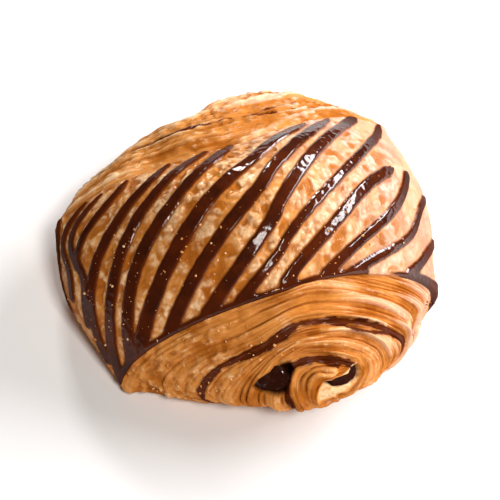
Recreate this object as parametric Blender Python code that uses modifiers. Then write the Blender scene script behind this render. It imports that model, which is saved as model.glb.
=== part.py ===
"""Pain au chocolat: a laminated roll with dark stripes on its skin and two chocolate sticks inside.

The roll lies along Y. Its front end, at -Y, shows the coil, and X runs across it. The flat base
rests on Z = 0, with the origin at the middle of the base. Sizes below are in millimetres.
"""

import math

import bmesh
import bpy
import numpy as np

MM = 0.001
OBJECT_NAME = "pain_au_chocolat"

# The skin passes through three rings: half width, height, shift along X and widest height of each.
FRONT_RING = (44.9, 33.6, -6.2, 3.0)
MIDDLE_RING = (53.0, 49.7, -1.3, 9.8)
BACK_RING = (51.2, 39.4, 3.9, 13.5)
CROWN_POWER = 1.71
FOOT_POWER = 1.6
BASE_DROP = 3.0

# The ends swell past the rings: each ring lies back from its tip by these lengths.
HALF_LENGTH = 50.6
COIL_HEIGHT = 15.4
FRONT_RECESS = {"top": 24.2, "left": 37.7, "right": 20.9, "foot": 10.1, "power": 1.72}
BACK_RECESS = {"top": 29.7, "left": 13.5, "right": 24.7, "foot": 6.0, "power": 3.67}
SIDE_POWER = 1.5

# Uneven swells of the skin, each with a height, waves round the roll, waves along it and a phase.
SWELLS = ((0.4, 3, 0.5, 3.4), (0.4, 5, 1.0, 2.1), (0.3, 8, 1.5, 4.0))
LAYER_RIDGE = 0.4

# How finely the body is divided.
SEGMENTS = 64
FACE_RINGS = 13
SKIN_RINGS = 12

# The outer face of the rolled sheet as it shows on the front end, from the tongue outwards: (x, z).
ROLL_LINE = (
    (2.0, 19.9), (-2.1, 22.7), (-7.2, 24.4), (-12.3, 24.2), (-16.6, 22.0), (-18.4, 17.5), (-17.8, 12.0),
    (-12.6, 8.0), (-1.6, 6.4), (10.4, 5.8), (19.2, 7.0), (21.2, 11.6), (16.3, 18.3), (9.7, 23.8),
    (1.4, 28.0), (-9.4, 29.6), (-20.6, 25.5), (-30.0, 20.3), (-35.0, 15.0), (-36.6, 9.5), (-30.6, 5.0),
    (-15.6, 3.6), (0.4, 3.2), (16.4, 3.6),
)
FOLD_RADIUS = 1.1
FOLD_STEPS = 3

# Chocolate sticks: centre on the front end (x, z), width, height and turn about their length.
STICKS = {
    "baton_left": (-19.8, 19.2, 9.4, 6.0, -24.0),
    "baton_right": (-2.4, 17.2, 9.6, 5.2, 7.0),
}
STICK_DEPTH = 1.2
STICK_EDGE = 1.2
STICK_GAP = 0.3
TUNNEL_OVERRUN = 12.0
MOUTH_SPREAD = 1.12
MOUTH_DEPTH = 3.6

# Stripes, left to right: angle and place of the tip, angle and place of the foot, bow, hook, width.
# Angles go round the roll in degrees from +X. Places run from the front ring, 0, to the back, 1.
STRIPES = (
    (166, 1.00, 184, 0.50, 4, 0, 3.4),
    (149, 0.99, 175, 0.54, 8, 5, 3.0),
    (141, 0.99, 173, 0.34, 4, 7, 3.0),
    (131, 1.00, 162, 0.62, 0, -2, 3.0),
    (118, 0.98, 174, 0.13, 5, -1, 3.2),
    (104, 0.99, 172, 0.02, 3, -1, 3.6),
    (95, 1.00, 162, 0.02, 0, -1, 4.0),
    (66, 0.95, 150, 0.03, 5, 1, 4.2),
    (53, 0.97, 139, 0.02, -2, 2, 4.2),
    (34, 1.00, 123, 0.02, -3, 5, 4.2),
    (14, 0.99, 110, 0.02, -4, 4, 4.0),
    (36, 0.53, 98, 0.03, -8, 4, 4.2),
    (22, 0.55, 86, 0.02, -14, 3, 4.0),
    (8, 0.48, 63, 0.02, -8, 2, 3.8),
    (8, 0.24, 41, 0.02, -2, 2, 3.8),
)
STRIPE_RISE = 0.9
STRIPE_STEPS = 13
STRIPE_SINK = 0.58
TIP_SHARE = 0.22
TIP_WIDTH = 0.3
# The stripes run together along the front ring: angle at each end, place and width.
BORDERS = ((176, 84, 0.015, 3.2), (40, 8, 0.02, 4.4))


def ring_section(angle, half_width, height, shift, widest):
    """A dome on a lower bow: a power curve above the widest height and another below it."""
    cos = np.cos(angle)
    sin = np.sin(angle)
    power = np.where(sin > 0, CROWN_POWER, FOOT_POWER)
    x = shift + half_width * np.sign(cos) * np.abs(cos) ** (2 / power)
    rise = np.abs(sin) ** (2 / power)
    above = widest + (height - widest) * rise
    below = widest - (widest + BASE_DROP) * rise
    return x, np.where(sin > 0, above, np.maximum(below, 0))


def ring_recess(angle, recess):
    """How far a ring lies back from its tip, blended from top or foot to the side by the cosine."""
    side = np.abs(np.cos(angle)) ** SIDE_POWER
    flank = np.where(np.cos(angle) < 0, recess["left"], recess["right"])
    middle = np.where(np.sin(angle) > 0, recess["top"], recess["foot"])
    return side * flank + (1 - side) * middle


def ring_points(angle):
    """The front, middle and back rings, each as an array of points."""
    front_y = ring_recess(angle, FRONT_RECESS) - HALF_LENGTH
    back_y = HALF_LENGTH - ring_recess(angle, BACK_RECESS)
    places = (front_y, (front_y + back_y) / 2, back_y)
    rings = []
    for size, y in zip((FRONT_RING, MIDDLE_RING, BACK_RING), places):
        x, z = ring_section(angle, *size)
        rings.append(np.stack([x, y, z], axis=-1))
    return rings


def skin_points(angle, place):
    """The parabola along the roll through the three rings, with the swells added outwards."""
    front, middle, back = ring_points(angle)
    t = place[..., None]
    points = front * (1 - t) * (1 - 2 * t) + middle * 4 * t * (1 - t) + back * t * (2 * t - 1)
    swell = np.zeros_like(place)
    for height, around, along, phase in SWELLS:
        swell += height * np.sin(around * angle + 2 * math.pi * along * place + phase)
    swell *= 4 * place * (1 - place) * (np.sin(angle) > 0) * np.abs(np.sin(angle)) ** 0.5
    points[..., 0] += swell * np.cos(angle)
    points[..., 2] += swell * np.sin(angle)
    return points


def face_points(angle, reach, at_front):
    """An end: the ring shrunk to the coil's middle by reach, its recess by a power of reach."""
    front, _, back = ring_points(angle)
    if at_front:
        ring, shift, tip, power = front, FRONT_RING[2], -HALF_LENGTH, FRONT_RECESS["power"]
    else:
        ring, shift, tip, power = back, BACK_RING[2], HALF_LENGTH, BACK_RECESS["power"]
    points = np.empty_like(ring)
    points[..., 0] = shift + reach * (ring[..., 0] - shift)
    points[..., 1] = tip + (ring[..., 1] - tip) * reach**power
    points[..., 2] = COIL_HEIGHT + reach * (ring[..., 2] - COIL_HEIGHT)
    return points


def on_face(x, z, at_front):
    """The point of an end seen at x and z: the ring's angle in that direction, then the reach."""
    angle = np.linspace(-math.pi, math.pi, 721)
    ring = face_points(angle, np.ones_like(angle), at_front)
    shift = (FRONT_RING if at_front else BACK_RING)[2]
    direction = np.unwrap(np.arctan2(ring[:, 2] - COIL_HEIGHT, ring[:, 0] - shift))
    radius = np.hypot(ring[:, 0] - shift, ring[:, 2] - COIL_HEIGHT)
    wanted = np.arctan2(z - COIL_HEIGHT, x - shift)
    wanted = (wanted - direction[0]) % (2 * math.pi) + direction[0]
    reach = np.hypot(x - shift, z - COIL_HEIGHT) / np.interp(wanted, direction, radius)
    return face_points(np.interp(wanted, direction, angle), reach, at_front)


def back_place(x, z):
    """Where a line of the front end comes out at the back: moved and stretched as the rings are."""
    stretch = BACK_RING[0] / FRONT_RING[0]
    lift = BACK_RING[1] / FRONT_RING[1]
    return BACK_RING[2] + (x - FRONT_RING[2]) * stretch, z * lift


def make_material(name, colour, roughness):
    material = bpy.data.materials.new(name)
    material.use_nodes = True
    shader = material.node_tree.nodes["Principled BSDF"]
    shader.inputs["Base Color"].default_value = (*colour, 1.0)
    shader.inputs["Roughness"].default_value = roughness
    shader.inputs["Metallic"].default_value = 0.0
    return material


def make_collection(name):
    collection = bpy.data.collections.new(name)
    bpy.context.scene.collection.children.link(collection)
    return collection


def add_object(name, mesh, collection):
    new = bpy.data.objects.new(name, mesh)
    collection.objects.link(new)
    return new


def move_object(moved, collection):
    for holder in list(moved.users_collection):
        holder.objects.unlink(moved)
    collection.objects.link(moved)
    return moved


def make_body(name, collection):
    """A sphere with its poles on the ends: each vertex moves to its ring and angle of the roll."""
    mesh = bpy.data.meshes.new(name)
    build = bmesh.new()
    rings = 2 * FACE_RINGS + SKIN_RINGS
    bmesh.ops.create_uvsphere(build, u_segments=SEGMENTS, v_segments=rings, radius=1.0)
    build.to_mesh(mesh)
    build.free()
    sphere = np.empty(len(mesh.vertices) * 3)
    mesh.vertices.foreach_get("co", sphere)
    sphere = sphere.reshape(-1, 3)
    angle = np.arctan2(sphere[:, 1], sphere[:, 0])
    ring = np.round(np.arccos(np.clip(sphere[:, 2], -1, 1)) / math.pi * rings)
    place = np.clip((ring - FACE_RINGS) / SKIN_RINGS, 0, 1)
    points = skin_points(angle, place)
    for at_front, count in ((True, ring), (False, rings - ring)):
        reach = count / FACE_RINGS
        face = face_points(angle, reach, at_front)
        sunk = LAYER_RIDGE * (count % 2) * (count > 1)
        face[:, 1] += sunk if at_front else -sunk
        inside = count < FACE_RINGS
        points[inside] = face[inside]
    points[:, 2] = np.maximum(points[:, 2], 0)
    mesh.vertices.foreach_set("co", (points * MM).ravel())
    mesh.update()
    return add_object(name, mesh, collection)


def smooth_line(points, steps):
    """A Catmull-Rom curve through the points, with this many steps between each pair."""
    points = np.array(points, dtype=float)
    padded = np.vstack([2 * points[0] - points[1], points, 2 * points[-1] - points[-2]])
    t = np.linspace(0, 1, steps, endpoint=False)[:, None]
    runs = []
    for a, b, c, d in zip(padded[:-3], padded[1:-2], padded[2:-1], padded[3:]):
        cubic = -a + 3 * b - 3 * c + d
        square = 2 * a - 5 * b + 4 * c - d
        runs.append(b + 0.5 * ((c - a) * t + square * t**2 + cubic * t**3))
    runs.append(points[-1:])
    return np.vstack(runs)


def make_tube(name, points, radii, collection):
    """A round bar along the points, made a mesh with its caps welded on."""
    curve = bpy.data.curves.new(name, "CURVE")
    curve.dimensions = "3D"
    curve.bevel_depth = MM
    curve.bevel_resolution = 1
    curve.use_fill_caps = True
    spline = curve.splines.new("POLY")
    spline.points.add(len(points) - 1)
    spline.points.foreach_set("co", np.column_stack([points * MM, np.ones(len(points))]).ravel())
    spline.points.foreach_set("radius", radii)
    guide = add_object(name + "_line", curve, collection)
    graph = bpy.context.evaluated_depsgraph_get()
    mesh = bpy.data.meshes.new_from_object(guide.evaluated_get(graph))
    build = bmesh.new()
    build.from_mesh(mesh)
    bmesh.ops.remove_doubles(build, verts=build.verts, dist=0.00001)
    build.to_mesh(mesh)
    build.free()
    bpy.data.objects.remove(guide)
    return add_object(name, mesh, collection)


def outward(angle, place):
    """The skin's outward direction, from the cross product of two small steps on it."""
    step = 0.01
    here = skin_points(angle, place)
    around = skin_points(angle + step, place) - here
    along = skin_points(angle, np.clip(place + step, 0, 1)) - skin_points(angle, np.clip(place - step, 0, 1))
    normal = np.cross(along, around)
    return here, normal / np.linalg.norm(normal, axis=1, keepdims=True)


def add_stripe(name, angle, place, width, collection):
    """A bar sunk along the skin, so that a rounded strip of the given width stands proud."""
    here, normal = outward(np.radians(angle), place)
    radius = width * STRIPE_SINK
    rise = STRIPE_RISE * width / width.max()
    return make_tube(name, here - normal * (radius - rise)[:, None], radius, collection)


def add_stripes(collection):
    """Each stripe goes from tip to foot at an even pace, bent by a half wave and a whole wave."""
    s = np.linspace(0, 1, STRIPE_STEPS)
    for number, (tip, tip_place, foot, foot_place, bow, hook, width) in enumerate(STRIPES):
        angle = tip + (foot - tip) * s + bow * np.sin(math.pi * s) + hook * np.sin(2 * math.pi * s)
        place = tip_place + (foot_place - tip_place) * s
        taper = TIP_WIDTH + (1 - TIP_WIDTH) * np.minimum(s / TIP_SHARE, 1) ** 0.7
        add_stripe(f"stripe_{number}", angle, place, width * taper, collection)
    for number, (start, end, place, width) in enumerate(BORDERS):
        angle = np.linspace(start, end, STRIPE_STEPS)
        taper = 1 - 0.5 * np.abs(2 * s - 1) ** 4
        add_stripe(f"border_{number}", angle, np.full_like(s, place), width * taper, collection)


def add_roll_lines(collection):
    """A groove on each end along the rolled sheet's outer face."""
    line = smooth_line(ROLL_LINE, FOLD_STEPS)
    for at_front in (True, False):
        x, z = (line[:, 0], line[:, 1]) if at_front else back_place(line[:, 0], line[:, 1])
        points = on_face(x, z, at_front)
        radii = np.full(len(points), FOLD_RADIUS)
        name = "roll_line_front" if at_front else "roll_line_back"
        make_tube(name, points, radii, collection)


def stick_section(stick, growth, across, up, y):
    """The x and z of a point of a stick's section, which moves as the roll does on its way back."""
    x, z, width, height, turn = stick
    back_x, back_z = back_place(x, z)
    share = (y + HALF_LENGTH) / (2 * HALF_LENGTH)
    wide = across * (width + growth)
    high = up * (height + growth)
    lean = math.radians(turn)
    x += (back_x - x) * share + wide * math.cos(lean) + high * math.sin(lean)
    z += (back_z - z) * share - wide * math.sin(lean) + high * math.cos(lean)
    return x, z


def add_bar(name, stick, depth, growth, collection):
    """A bar with rounded edges through the roll, each corner a depth behind the roll's end."""
    bpy.ops.mesh.primitive_cube_add(size=1)
    bar = bpy.context.active_object
    bar.name = name
    bar.data.name = name
    for corner in bar.data.vertices:
        across, along, up = corner.co
        at_front = along < 0
        inwards = 1 if at_front else -1
        y = -inwards * HALF_LENGTH
        for _ in range(4):
            x, z = stick_section(stick, growth, across, up, y)
            y = on_face(x, z, at_front)[1] + inwards * depth
        corner.co = (x * MM, y * MM, z * MM)
    bevel = bar.modifiers.new("rounded_edges", "BEVEL")
    bevel.width = STICK_EDGE * MM
    bevel.segments = 2
    return move_object(bar, collection)


def add_mouth(name, stick, at_front, collection):
    """An egg-shaped hollow where a stick comes out at an end."""
    _, _, width, height, turn = stick
    y = -HALF_LENGTH if at_front else HALF_LENGTH
    x, z = stick_section(stick, 0, 0, 0, y)
    bpy.ops.mesh.primitive_uv_sphere_add(segments=20, ring_count=12, radius=1.0)
    mouth = bpy.context.active_object
    mouth.name = name
    spread = MOUTH_SPREAD / 2 * MM
    mouth.scale = (width * spread, MOUTH_DEPTH * MM, height * spread)
    mouth.location = tuple(on_face(x, z, at_front) * MM)
    mouth.rotation_euler = (0, math.radians(turn), 0)
    bpy.ops.object.transform_apply(location=False, rotation=False, scale=True)
    return move_object(mouth, collection)


def hide_cutters(collection):
    for cutter in collection.objects:
        cutter.hide_render = True
        cutter.display_type = "WIRE"


def apply_boolean(target, collection, operation):
    """Joins or cuts the target with every object of a collection, then removes those objects."""
    modifier = target.modifiers.new(operation.lower(), "BOOLEAN")
    modifier.operation = operation
    modifier.operand_type = "COLLECTION"
    modifier.collection = collection
    modifier.solver = "EXACT"
    graph = bpy.context.evaluated_depsgraph_get()
    mesh = bpy.data.meshes.new_from_object(target.evaluated_get(graph))
    mesh.name = target.name
    target.modifiers.clear()
    target.data = mesh
    for used in list(collection.objects):
        bpy.data.objects.remove(used)


def shade(target, material):
    target.data.materials.clear()
    target.data.materials.append(material)
    target.data.shade_smooth()
    target.data.set_sharp_from_angle(angle=math.radians(35))


def main():
    for old in list(bpy.data.objects):
        bpy.data.objects.remove(old)
    parts = make_collection(OBJECT_NAME)
    toppings = make_collection("toppings")
    cutters = make_collection("cutters")

    pastry = make_body("pastry", parts)
    add_stripes(toppings)
    apply_boolean(pastry, toppings, "UNION")

    add_roll_lines(cutters)
    for name, stick in STICKS.items():
        add_bar(f"tunnel_{name}", stick, -TUNNEL_OVERRUN, 2 * STICK_GAP, cutters)
        add_mouth(f"mouth_front_{name}", stick, True, cutters)
        add_mouth(f"mouth_back_{name}", stick, False, cutters)
    hide_cutters(cutters)
    cut = pastry.modifiers.new("hollows", "BOOLEAN")
    cut.operation = "DIFFERENCE"
    cut.operand_type = "COLLECTION"
    cut.collection = cutters
    cut.solver = "EXACT"

    shade(pastry, make_material("baked_crust", (0.62, 0.30, 0.08), 0.45))
    chocolate = {"baton_left": (0.035, 0.013, 0.008), "baton_right": (0.04, 0.015, 0.009)}
    for name, stick in STICKS.items():
        bar = add_bar(name, stick, STICK_DEPTH, 0, parts)
        shade(bar, make_material(f"chocolate_{name}", chocolate[name], 0.25))


main()
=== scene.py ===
"""Pain au chocolat: a laminated roll with dark stripes on its skin and two chocolate sticks inside.

The roll lies along Y with its coil end at -Y, and its flat base rests on Z = 0. Shapes are worked
out in millimetres and put into the meshes in metres.
"""

import math

import bpy
import numpy as np
from mathutils import Matrix, Vector


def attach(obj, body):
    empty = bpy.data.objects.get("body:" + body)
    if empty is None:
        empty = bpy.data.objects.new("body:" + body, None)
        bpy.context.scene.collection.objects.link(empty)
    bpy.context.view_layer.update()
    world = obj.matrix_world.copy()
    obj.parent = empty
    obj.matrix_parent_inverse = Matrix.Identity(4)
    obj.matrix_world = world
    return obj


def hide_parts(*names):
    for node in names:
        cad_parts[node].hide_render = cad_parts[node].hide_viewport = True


bl_info = {
    "name": "Pain au Chocolat",
    "version": (1, 0, 0),
    "blender": (4, 5, 0),
    "location": "3D View > Sidebar > Pastry",
    "description": "Makes a laminated chocolate pastry piece by piece",
    "category": "Add Mesh",
}

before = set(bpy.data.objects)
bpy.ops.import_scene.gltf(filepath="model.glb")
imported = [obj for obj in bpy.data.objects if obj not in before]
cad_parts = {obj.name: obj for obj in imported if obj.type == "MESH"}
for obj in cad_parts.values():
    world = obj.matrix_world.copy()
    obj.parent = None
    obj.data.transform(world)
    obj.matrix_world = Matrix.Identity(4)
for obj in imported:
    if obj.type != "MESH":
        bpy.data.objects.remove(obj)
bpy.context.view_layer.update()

MM = 0.001

# The skin passes through three rings: half width, height, shift along X and widest height of each.
FRONT_RING = (44.9, 33.6, -6.2, 3.0)
MIDDLE_RING = (53.0, 49.7, -1.3, 9.8)
BACK_RING = (51.2, 39.4, 3.9, 13.5)
BACK_STRETCH = BACK_RING[0] / FRONT_RING[0]
BACK_LIFT = BACK_RING[1] / FRONT_RING[1]
CROWN_POWER = 1.71
FOOT_POWER = 1.6
BASE_DROP = 3.0
HALF_LENGTH = 50.6
COIL_HEIGHT = 15.4
FRONT_RECESS = {"top": 24.2, "left": 37.7, "right": 22.0, "foot": 12.3, "power": 1.72}
BACK_RECESS = {"top": 29.7, "left": 13.5, "right": 24.7, "foot": 6.0, "power": 3.67}
SIDE_POWER = 1.5
SWELLS = ((0.4, 3, 0.5, 3.4), (0.4, 5, 1.0, 2.1), (0.3, 8, 1.5, 4.0))

# The outer face of the rolled sheet as it shows on the front end, from the tongue outwards: (x, z).
ROLL_LINE = (
    (2.0, 19.9), (-2.1, 22.7), (-7.2, 24.4), (-12.3, 24.2), (-16.6, 22.0), (-18.4, 17.5),
    (-17.8, 12.0), (-12.6, 8.0), (-1.6, 6.4), (10.4, 5.8), (19.2, 7.0), (21.2, 11.6), (16.3, 18.3),
    (9.7, 23.8), (1.4, 28.0), (-9.4, 29.6), (-20.6, 25.5), (-30.0, 20.3), (-35.0, 15.0),
    (-36.6, 9.5), (-30.6, 5.0), (-15.6, 3.6), (0.4, 3.2), (16.4, 3.6),
)

# The hollows where the sticks come out on the front end, as outlines: (x, z).
LEFT_HOLLOW = (
    (-25.0, 17.3), (-23.7, 18.8), (-22.0, 20.1), (-18.8, 22.1), (-17.0, 23.3), (-14.8, 23.9),
    (-14.6, 22.4), (-16.3, 20.5), (-17.4, 18.6), (-18.6, 16.6), (-22.0, 16.4), (-24.3, 16.4),
)
RIGHT_HOLLOW = (
    (-8.6, 19.7), (-6.0, 19.4), (-3.1, 19.1), (-0.6, 18.5), (1.0, 19.2), (2.8, 19.0),
    (2.9, 17.6), (2.2, 16.4), (0.0, 15.8), (-3.5, 16.5), (-5.9, 17.6), (-7.6, 19.0),
)
# The room round the right hollow that the tongue folds about: direction in degrees, radius.
CORE = (
    (28.8, 9.0), (35, 7.2), (45, 5.7), (60, 4.7), (90, 4.1), (115, 4.8), (140, 4.6), (165, 4.6),
    (190, 4.4), (215, 3.8), (240, 2.9), (270, 2.1), (300, 2.0), (330, 2.4), (345, 3.2), (355, 5.0),
    (362, 7.6), (370, 9.2), (389, 9.35),
)

# Chocolate sticks: centre on the front end (x, z), width, height and turn about their length,
# then how deep their ends lie, how much of their room they fill and how round their corners are.
STICKS = {
    "baton_left": (-19.8, 19.2, 9.4, 6.0, -24.0),
    "baton_right": (-2.4, 17.2, 9.6, 5.2, 7.0),
}
STICK_DEPTH = 1.6
STICK_FILL = 0.95
STICK_POWER = 0.6

# Stripes, left to right: angle and place of the tip, angle and place of the foot, bow, hook, width
# and the share of the length over which the tip narrows. Angles go round the roll in degrees from
# +X. Places run from the front ring, 0, to the back ring, 1.
STRIPES = (
    (166.0, 1.00, 184.0, 0.50, 4.0, 0.0, 3.0, 0.14),
    (147.8, 0.97, 170.2, 0.50, 7.0, 4.5, 2.7, 0.16),
    (140.8, 0.96, 170.4, 0.33, 3.5, 5.9, 2.8, 0.15),
    (130.9, 0.97, 159.2, 0.60, -0.1, -1.8, 2.8, 0.14),
    (116.7, 0.98, 174.1, 0.13, 2.8, -2.2, 3.4, 0.10),
    (104.3, 0.99, 173.5, 0.02, 0.3, 0.9, 3.8, 0.10),
    (95.5, 1.00, 158.7, 0.02, -0.3, -1.7, 3.9, 0.09),
    (64.3, 0.95, 151.1, 0.03, 4.9, 2.3, 4.2, 0.06),
    (53.8, 0.97, 136.8, 0.02, -2.1, -0.4, 3.7, 0.10),
    (38.8, 1.00, 122.2, 0.02, -4.4, 2.4, 3.5, 0.05),
    (19.4, 0.99, 110.6, 0.02, -7.8, 2.4, 2.7, 0.05),
    (37.6, 0.51, 92.4, 0.03, -2.8, 2.2, 3.4, 0.06),
    (27.0, 0.54, 73.4, 0.02, -8.4, 0.6, 3.1, 0.05),
    (12.0, 0.48, 63.0, 0.01, -9.2, 3.8, 2.5, 0.05),
    (8.0, 0.26, 34.0, 0.02, -1.0, 0.5, 3.0, 0.05),
)
# The stripes run together along the front ring: angle at each end, place, and width at each end.
BORDERS = ((177.0, 57.0, 0.008, 2.6, 1.8), (45.0, 4.0, 0.010, 0.3, 9.0))
WEB = 1.2
STRIPE_POINTS = 150
STRIPE_REACH = 12
STRIPE_EDGE = 0.6
BATCH = 8000

# Broad hollows, and swellings where the depth is below zero, of the skin and of the two ends:
# angle, place or reach, depth, and spread along both.
SKIN_DENTS = (
    (25.0, 0.85, 1.7, 19.0, 0.22), (186.0, 0.2, 0.1, 14.0, 0.4), (4.0, 0.40, -0.9, 22.0, 0.22),
    (-16.0, 0.0, 2.4, 11.0, 0.16), (7.0, 0.06, -0.7, 8.0, 0.08),
)
FRONT_DENTS = (
    (196.0, 0.58, 2.7, 24.0, 0.28), (250.0, 0.6, 1.0, 40.0, 0.3), (325.0, 0.85, -1.0, 14.0, 0.3),
    (340.0, 0.35, -1.1, 14.0, 0.12), (0.0, 0.84, 2.2, 15.0, 0.2), (188.0, 0.97, -1.4, 4.0, 0.06),
)
BACK_DENTS = (
    (98.0, 0.45, 3.3, 11.0, 0.22), (150.0, 0.7, 1.4, 14.0, 0.25), (122.0, 0.86, 1.2, 9.0, 0.2),
    (45.0, 0.65, -0.8, 20.0, 0.3),
)
BACK_ROLL_SHARE = 0.89

SKIN_ROWS = 168
CROWN_COLUMNS = 500
BASE_COLUMNS = 56
END_ROWS = 262
END_COLUMNS = 350
LAYERS = 16
RUN_PER_RADIAN = 16.0
BLISTER_SIZES = (5.0, 2.3)
BACK_BLISTER_SIZE = 3.4
NO_COCOA = -9.0
# Moves of the skin's outermost rows, which dip under the ends.
SKIN_EDGE = (-3.0, -0.6, 0.05, 0.22)
# Rings of an end's edge under the skin: share of the roll's length, and move along its normal.
TUCKS = ((0.004, -0.7), (0.03, -1.2), (0.06, -3.0))
CRUMBS = 520
CRUMB_CLUSTERS = 26
CRUMB_GRID = (4, 7)

# Mottling: how much finer each mark is than the stains, and its detail.
MOTTLING = {"Stain": (1.0, 3.0), "Spot": (4.5, 3.0), "Grain": (22.0, 2.0)}

# Place, target, size, energy and colour of each light.
LIGHTS = {
    "window": ((0.77, -0.02, 0.48), (0, 0, 0.03), (1.0, 0.2), 13.3, (0.99, 0.98, 1.0)),
    "back_window": ((0.26, 0.78, 0.50), (0, 0, 0.02), (0.16, 0.12), 3.9, (1.0, 0.98, 0.96)),
    "front_fill": ((-0.08, -0.62, 0.79), (0, 0, 0.02), (0.24, 0.24), 6.9, (1.0, 0.95, 0.90)),
}
ROOM_LIGHT = 0.05

# Turn from -Y, height above the floor and roll of the camera, in degrees, and its optics.
CAMERA_ANGLES = (-28.54, 50.8, 0.67)
CAMERA_TARGET = (-0.0013, 0.00772, 0)
CAMERA_DISTANCE = 0.57206
CAMERA_LENS = 144.6
CAMERA_SHIFT = (0.0052, 0.047)


# Sizes and colours.


def length_property(name, description, default, high):
    return bpy.props.FloatProperty(
        name=name, description=description, default=default, min=0, max=high, unit="LENGTH")


def colour_property(name, description, default):
    return bpy.props.FloatVectorProperty(
        name=name, description=description, default=default, subtype="COLOR", size=3)


class PastrySizes(bpy.types.PropertyGroup):
    layer_relief: length_property("Layer Relief", "Height of the ends' ridges", 0.0006, 0.002)
    blister_relief: length_property("Blister Relief", "Height of the blisters", 0.0006, 0.002)
    stripe_rise: length_property("Stripe Rise", "How far the stripes stand proud", 0.0005, 0.003)
    hollow_depth: length_property("Hollow Depth", "Depth round the sticks", 0.0055, 0.01)
    crumb_size: length_property("Crumb Size", "Radius of the crumbs", 0.00022, 0.002)


class PastryColours(bpy.types.PropertyGroup):
    golden: colour_property("Golden", "Baked crust", (0.68, 0.26, 0.052))
    amber: colour_property("Amber", "Darker baked crust", (0.42, 0.12, 0.012))
    pale: colour_property("Pale", "Thin blistered crust", (0.93, 0.61, 0.33))
    # Painted sheen: the palest crust colour, laid on the right (+X), the window side.
    cream_sheen: colour_property("Cream", "Palest crust, on one side", (0.89, 0.57, 0.46))
    honey: colour_property("Honey", "Pale layers on the ends", (0.76, 0.325, 0.088))
    # Red-brown edges, and painted shade in the gaps between layers and beside the stripes.
    shade_and_red_brown: colour_property("Crevice", "Gaps between layers", (0.17, 0.036, 0.006))
    cocoa: colour_property("Cocoa", "Dark stripes", (0.082, 0.0132, 0.0023))
    chocolate: colour_property("Chocolate", "Chocolate sticks", (0.026, 0.0060, 0.0028))
    floor: colour_property("Floor", "Pale floor", (0.95, 0.95, 0.95))


# Noise.


def cell_number(cell, seed):
    """A repeatable number between 0 and 1 for each whole-number cell, by mixing its bits."""
    mixed = cell[..., 0] * 73856093 ^ cell[..., 1] * 19349663 ^ cell[..., 2] * 83492791
    mixed = (mixed + seed * 974634777) & 0x7FFFFFFF
    mixed = (mixed ^ mixed >> 13) * 1274126177 & 0x7FFFFFFF
    mixed = (mixed ^ mixed >> 16) * 668265263 & 0x7FFFFFFF
    return (mixed ^ mixed >> 15 & 0xFFFF) % 65536 / 65535.0


def cloud(points, size, seed):
    """Smooth noise from -1 to 1: the numbers at a cell's corners, blended by a smooth step."""
    scaled = points / size
    cell = np.floor(scaled).astype(np.int64)
    share = scaled - cell
    share = share * share * (3 - 2 * share)
    total = np.zeros(points.shape[:-1])
    for corner in np.ndindex(2, 2, 2):
        weight = np.prod(np.where(np.array(corner) == 1, share, 1 - share), axis=-1)
        total += weight * cell_number(cell + np.array(corner), seed)
    return 2 * total - 1


def line_cloud(across, along, seed, plane=0.0):
    """Smooth noise over two values, such as a layer's number and the run along the sheet."""
    across, along = np.broadcast_arrays(across, along)
    return cloud(np.stack([across, along, np.full(across.shape, plane)], axis=-1), 1.0, seed)


def puffs(points, size, seed):
    """Distances, in cells, to the nearest and second nearest of one loose point in every cell."""
    scaled = points / size
    cell = np.floor(scaled).astype(np.int64)
    near = np.full(points.shape[:-1], 9.0)
    second = near.copy()
    for offset in np.ndindex(3, 3, 3):
        other = cell + np.array(offset) - 1
        place = np.stack([cell_number(other, seed + k) for k in (1, 2, 3)], axis=-1)
        distance = np.linalg.norm(other + place - scaled, axis=-1)
        second = np.minimum(second, np.maximum(near, distance))
        near = np.minimum(near, distance)
    return near, second


def pillows(points, size, seed):
    """Flat-topped pillows from 0 to 1, one for each loose cell, steep where two of them meet."""
    near, second = puffs(points, size, seed)
    return 1 - (1 - np.clip((second - near) / 0.7, 0, 1)) ** 2


def ease(low, high, value):
    """From 0 at the low value to 1 at the high one, by a cubic that is level at both ends."""
    share = np.clip((value - low) / (high - low), 0, 1)
    return share * share * (3 - 2 * share)


def off_floor(z):
    """From 0 next to the flat base to 1 a few millimetres above it."""
    return ease(1.0, 6.0, z)


# The roll's form.


def ring_section(angle, half_width, height, shift, widest):
    """A dome on a lower bow: a power curve above the widest height and another below it."""
    cos = np.cos(angle)
    sin = np.sin(angle)
    power = np.where(sin > 0, CROWN_POWER, FOOT_POWER)
    x = shift + half_width * np.sign(cos) * np.abs(cos) ** (2 / power)
    rise = np.abs(sin) ** (2 / power)
    above = widest + (height - widest) * rise
    below = widest - (widest + BASE_DROP) * rise
    return x, np.where(sin > 0, above, np.maximum(below, 0))


def ring_recess(angle, recess):
    """How far a ring lies back from its tip, blended from top or foot to the side by the cosine."""
    side = np.abs(np.cos(angle)) ** SIDE_POWER
    flank = np.where(np.cos(angle) < 0, recess["left"], recess["right"])
    middle = np.where(np.sin(angle) > 0, recess["top"], recess["foot"])
    return side * flank + (1 - side) * middle


def ring_points(angle):
    """The front, middle and back rings, each as an array of points."""
    front_y = ring_recess(angle, FRONT_RECESS) - HALF_LENGTH
    back_y = HALF_LENGTH - ring_recess(angle, BACK_RECESS)
    places = (front_y, (front_y + back_y) / 2, back_y)
    rings = []
    for size, y in zip((FRONT_RING, MIDDLE_RING, BACK_RING), places):
        x, z = ring_section(angle, *size)
        rings.append(np.stack([x, y, z], axis=-1))
    return rings


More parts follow.
